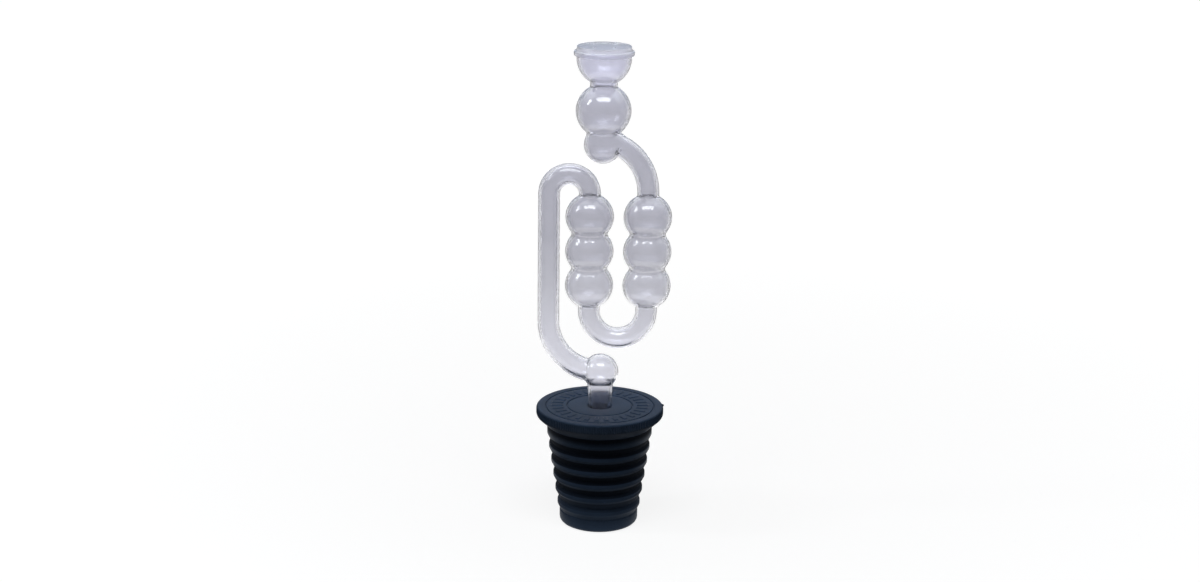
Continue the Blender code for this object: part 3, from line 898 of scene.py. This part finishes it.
def clear_material(name, tint_and_shade_stops, roughness, haze):
    """Clear moulded plastic, faintly grey-violet, that lets the lamps' light through. Its colour
    follows a ramp by height, which for the airlock holds painted light and shade.
    """
    material, tree, shader = new_material(name)
    place = tree.nodes.new("ShaderNodeTexCoord").outputs["Object"]
    apart = tree.nodes.new("ShaderNodeSeparateXYZ")
    tree.links.new(place, apart.inputs["Vector"])
    height = range_node(tree, apart.outputs["Z"], BUNG_HEIGHT, CUP_RIM_Z, 0.0, 1.0)
    # Painted light and shade: the airlock's colour ramp is lighter low down and at the cup, darker up
    # the bulbs
    tint_and_shade = ramp_node(tree, height, tint_and_shade_stops)
    cloud = noise_node(tree, place, scale=120.0, detail=3.0)
    shade = grey_ramp_node(tree, cloud, ((0.25, 0.96), (0.75, 1.0)))
    patches = range_node(tree, cloud, 0.3, 0.7, roughness, roughness * ROUGHNESS_SPREAD)
    ripple = noise_node(tree, place, scale=260.0, detail=2.0)
    waves = bump_node(tree, ripple, strength=0.05, distance=0.0002)
    tree.links.new(multiply_node(tree, tint_and_shade, shade), shader.inputs["Base Color"])
    tree.links.new(patches, shader.inputs["Roughness"])
    tree.links.new(waves, shader.inputs["Normal"])
    shader.inputs["Transmission Weight"].default_value = 1.0 - haze
    shader.inputs["IOR"].default_value = PLASTIC_IOR
    shader.inputs["Coat Weight"].default_value = 1.0
    shader.inputs["Coat Roughness"].default_value = COAT_ROUGHNESS
    clear = tree.nodes.new("ShaderNodeBsdfTransparent")
    clear.inputs["Color"].default_value = PLASTIC_SHADOW_TINT
    path = tree.nodes.new("ShaderNodeLightPath")
    mix = tree.nodes.new("ShaderNodeMixShader")
    tree.links.new(path.outputs["Is Shadow Ray"], mix.inputs["Fac"])
    tree.links.new(shader.outputs["BSDF"], mix.inputs[1])
    tree.links.new(clear.outputs["BSDF"], mix.inputs[2])
    tree.links.new(mix.outputs["Shader"], tree.nodes["Material Output"].inputs["Surface"])
    return material


# Stage

def feed(tree, value, socket):
    """Set a socket to a plain number, or link it to another node's output."""
    if isinstance(value, float):
        socket.default_value = value
    else:
        tree.links.new(value, socket)


def by_ray(tree, bounced, mirrored, shown):
    """A number that differs for bounced light, mirror images and what is looked at or seen through."""
    path = tree.nodes.new("ShaderNodeLightPath")
    value = bounced
    others = (("Is Glossy Ray", mirrored), ("Is Transmission Ray", shown), ("Is Camera Ray", shown))
    for ray, other in others:
        node = tree.nodes.new("ShaderNodeMix")
        tree.links.new(path.outputs[ray], node.inputs["Factor"])
        feed(tree, value, node.inputs["A"])
        feed(tree, other, node.inputs["B"])
        value = node.outputs["Result"]
    return value


def build_floor():
    """A floor that is white to look at, keeps the shadow, and lights the object only from close by."""
    mesh = bpy.data.meshes.new("floor")
    signs = ((-1.0, -1.0), (1.0, -1.0), (1.0, 1.0), (-1.0, 1.0))
    corners = [(x * FLOOR_REACH, y * FLOOR_REACH, 0.0) for x, y in signs]
    mesh.from_pydata(corners, [], [(0, 1, 2, 3)])
    floor = add_object("floor", mesh)
    material, tree, shader = new_material("pale_floor")
    material.cycles.emission_sampling = "NONE"
    tree.nodes.remove(shader)
    place = tree.nodes.new("ShaderNodeTexCoord").outputs["Object"]
    apart = tree.nodes.new("ShaderNodeSeparateXYZ")
    tree.links.new(place, apart.inputs["Vector"])
    away = tree.nodes.new("ShaderNodeVectorMath")
    away.operation = "LENGTH"
    tree.links.new(place, away.inputs[0])
    distance = away.outputs["Value"]
    bounced = grey_ramp_node(tree, distance, FLOOR_BOUNCED)
    rings = grey_ramp_node(tree, distance, FLOOR_MIRRORED)
    behind = range_node(tree, apart.outputs["Y"], 0.0, FLOOR_BEHIND_Y, 0.0, FLOOR_BEHIND_LEVEL)
    near, near_level = FLOOR_WHITE_NEAR
    far, far_level = FLOOR_WHITE_FAR
    white = range_node(tree, distance, near, far, near_level, far_level)
    strength = by_ray(tree, bounced, larger_node(tree, rings, behind), white)
    glow = tree.nodes.new("ShaderNodeEmission")
    tree.links.new(strength, glow.inputs["Strength"])
    paint = tree.nodes.new("ShaderNodeBsdfDiffuse")
    grey = by_ray(tree, FLOOR_PAINT, FLOOR_PAINT, FLOOR_PAINT_SHOWN)
    tree.links.new(grey, paint.inputs["Color"])
    both = tree.nodes.new("ShaderNodeAddShader")
    tree.links.new(paint.outputs["BSDF"], both.inputs[0])
    tree.links.new(glow.outputs["Emission"], both.inputs[1])
    tree.links.new(both.outputs["Shader"], tree.nodes["Material Output"].inputs["Surface"])
    mesh.materials.append(material)


def build_world():
    """White to look at, a low even light on the object, and dark in front in mirror images."""
    world = bpy.data.worlds.new("studio")
    bpy.context.scene.world = world
    world.use_nodes = True
    tree = world.node_tree
    ambient = tree.nodes["Background"]
    ambient.inputs["Color"].default_value = AMBIENT_COLOUR
    ambient.inputs["Strength"].default_value = AMBIENT_STRENGTH
    direction = tree.nodes.new("ShaderNodeTexCoord").outputs["Generated"]
    apart = tree.nodes.new("ShaderNodeSeparateXYZ")
    tree.links.new(direction, apart.inputs["Vector"])
    share = range_node(tree, apart.outputs["Y"], DARK_FRONT_Y, 0.0, DARK_FRONT_SHARE, 1.0)
    mirrored = tree.nodes.new("ShaderNodeBackground")
    tree.links.new(ramp_node(tree, apart.outputs["Z"], MIRRORED_SKY), mirrored.inputs["Color"])
    tree.links.new(share, mirrored.inputs["Strength"])
    shown = tree.nodes.new("ShaderNodeBackground")
    tree.links.new(ramp_node(tree, apart.outputs["Z"], SHOWN_SKY), shown.inputs["Color"])
    path = tree.nodes.new("ShaderNodeLightPath")
    base = ambient
    others = (("Is Glossy Ray", mirrored), ("Is Transmission Ray", shown), ("Is Camera Ray", shown))
    for ray, other in others:
        mix = tree.nodes.new("ShaderNodeMixShader")
        tree.links.new(path.outputs[ray], mix.inputs["Fac"])
        tree.links.new(base.outputs[0], mix.inputs[1])
        tree.links.new(other.outputs[0], mix.inputs[2])
        base = mix
    tree.links.new(base.outputs[0], tree.nodes["World Output"].inputs["Surface"])


def add_lamp(name, place, target, width, depth, radiance):
    """A rectangular soft lamp aimed at a target. Its power follows from its size and its brightness."""
    lamp = bpy.data.lights.new(name, "AREA")
    lamp.shape = "RECTANGLE"
    lamp.size = width
    lamp.size_y = depth
    lamp.energy = math.pi * width * depth * radiance
    lamp.color = LAMP_COLOUR
    item = bpy.data.objects.new(name, lamp)
    item.location = place
    item.rotation_euler = (Vector(target) - Vector(place)).to_track_quat("-Z", "Y").to_euler()
    item.visible_camera = False
    bpy.context.scene.collection.objects.link(item)


def build_camera():
    """The photograph's camera, for its frame of 1200 by 582 pixels."""
    data = bpy.data.cameras.new("camera")
    data.sensor_width = SENSOR_WIDTH_MM
    data.lens = SENSOR_WIDTH_MM * PHOTO_FOCAL_PX / PHOTO_WIDTH_PX
    camera = bpy.data.objects.new("camera", data)
    tilt = Matrix.Rotation(math.pi / 2.0 - CAMERA_PITCH, 4, "X")
    roll = Matrix.Rotation(CAMERA_ROLL, 4, "Z")
    camera.matrix_world = Matrix.Translation(CAMERA_PLACE) @ tilt @ roll
    bpy.context.scene.collection.objects.link(camera)
    bpy.context.scene.camera = camera


build_camera()
build_world()
for lamp_values in LAMPS:
    add_lamp(*lamp_values)
build_floor()
build_bung(rubber_material())
build_airlock(clear_material("clear_plastic_look", AIRLOCK_TINTS_AND_PAINTED_SHADE, AIRLOCK_ROUGHNESS, AIRLOCK_HAZE))
build_cap(clear_material("clear_cap_look", CAP_TINTS, CAP_ROUGHNESS, CAP_HAZE))
bpy.context.scene.view_settings.view_transform = "Standard"
# The airlock has many clear walls one behind another, so light needs more bounces than usual
bpy.context.scene.cycles.max_bounces = 32
bpy.context.scene.cycles.glossy_bounces = 24
bpy.context.scene.cycles.transmission_bounces = 24
